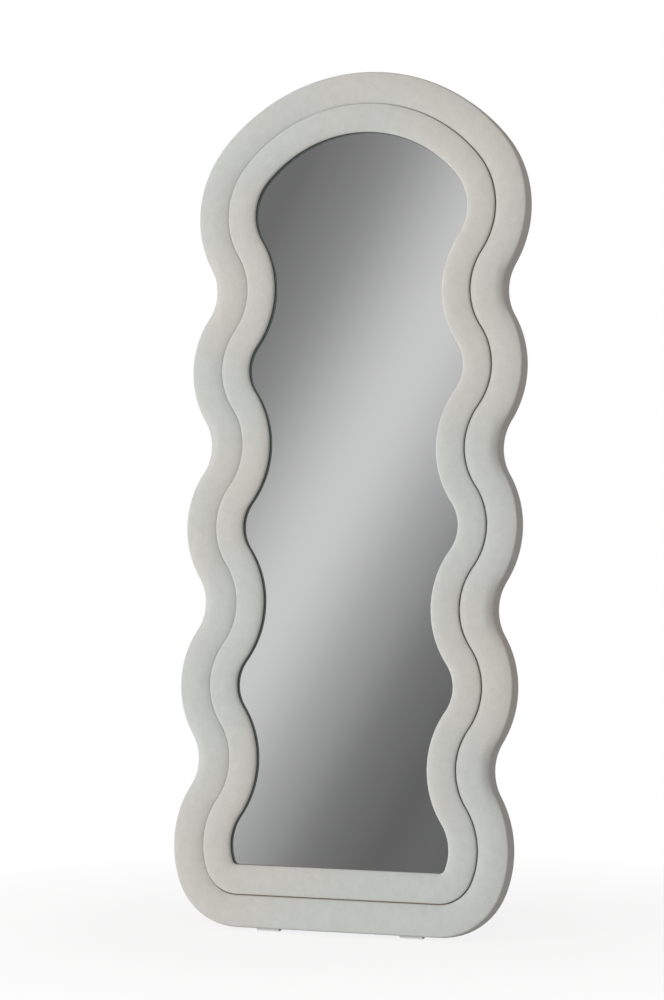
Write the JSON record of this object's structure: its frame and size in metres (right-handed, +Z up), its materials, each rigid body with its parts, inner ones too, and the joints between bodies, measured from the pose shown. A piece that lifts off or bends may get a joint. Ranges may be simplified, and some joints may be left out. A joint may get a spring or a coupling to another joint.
{
  "type": "floor mirror",
  "caption": "Full-length floor mirror in a wavy arched frame of two upholstered rolls, leaning back on a fold-out tube stand.",
  "frame": {"origin": "middle of the base on the floor", "axes": "+X to the viewer's right, +Y to the back of the mirror, +Z up"},
  "size_m": [0.6547, 0.2803, 1.5978],
  "materials": {
    "flannel": "short matt pile",
    "mirror_glass": "silvered float glass",
    "safety_film": "film",
    "foam_tape": "foam",
    "foam_board": "foam board",
    "board": "fibreboard",
    "back_board": "black faced hardboard",
    "black_steel": "satin powder coat",
    "black_plastic": "moulded",
    "rubber": "moulded",
    "pale_rubber": "moulded",
    "zinc": "zinc plated"
  },
  "bodies": {
    "panel": {"back_board": "back_board", "back_board_screws": "zinc", "base_bottom_rail": "board", "base_left_stile": "board", "base_right_stile": "board", "base_top_arch": "board", "bracket_screws": "zinc", "cross_rail": "board", "floor_pad_screws": "zinc", "glass_tape": "foam_tape", "inner_roll": "flannel", "joint_tenons": "board", "keyhole_plates": "zinc", "keyhole_screws": "zinc", "left_floor_pad": "pale_rubber", "left_pivot_bracket": "black_steel", "lower_filler": "foam_board", "mirror_glass": "mirror_glass", "outer_roll": "flannel", "pivot_bolts": "zinc", "pivot_nuts": "zinc", "pivot_washers": "black_plastic", "right_floor_pad": "pale_rubber", "right_pivot_bracket": "black_steel", "safety_film": "safety_film", "upper_filler": "foam_board"},
    "stand": {"left_stand_foot": "rubber", "right_stand_foot": "rubber", "stand_tube": "black_steel", "tube_end_plugs": "black_plastic"}
  },
  "joints": [
    {"name": "stand_fold", "type": "hinge", "parent": "panel", "child": "stand", "pos_m": [0, 0.0138, 0.9813], "axis": [1, 0, 0], "range_deg": [-12.6, 0]}
  ]
}
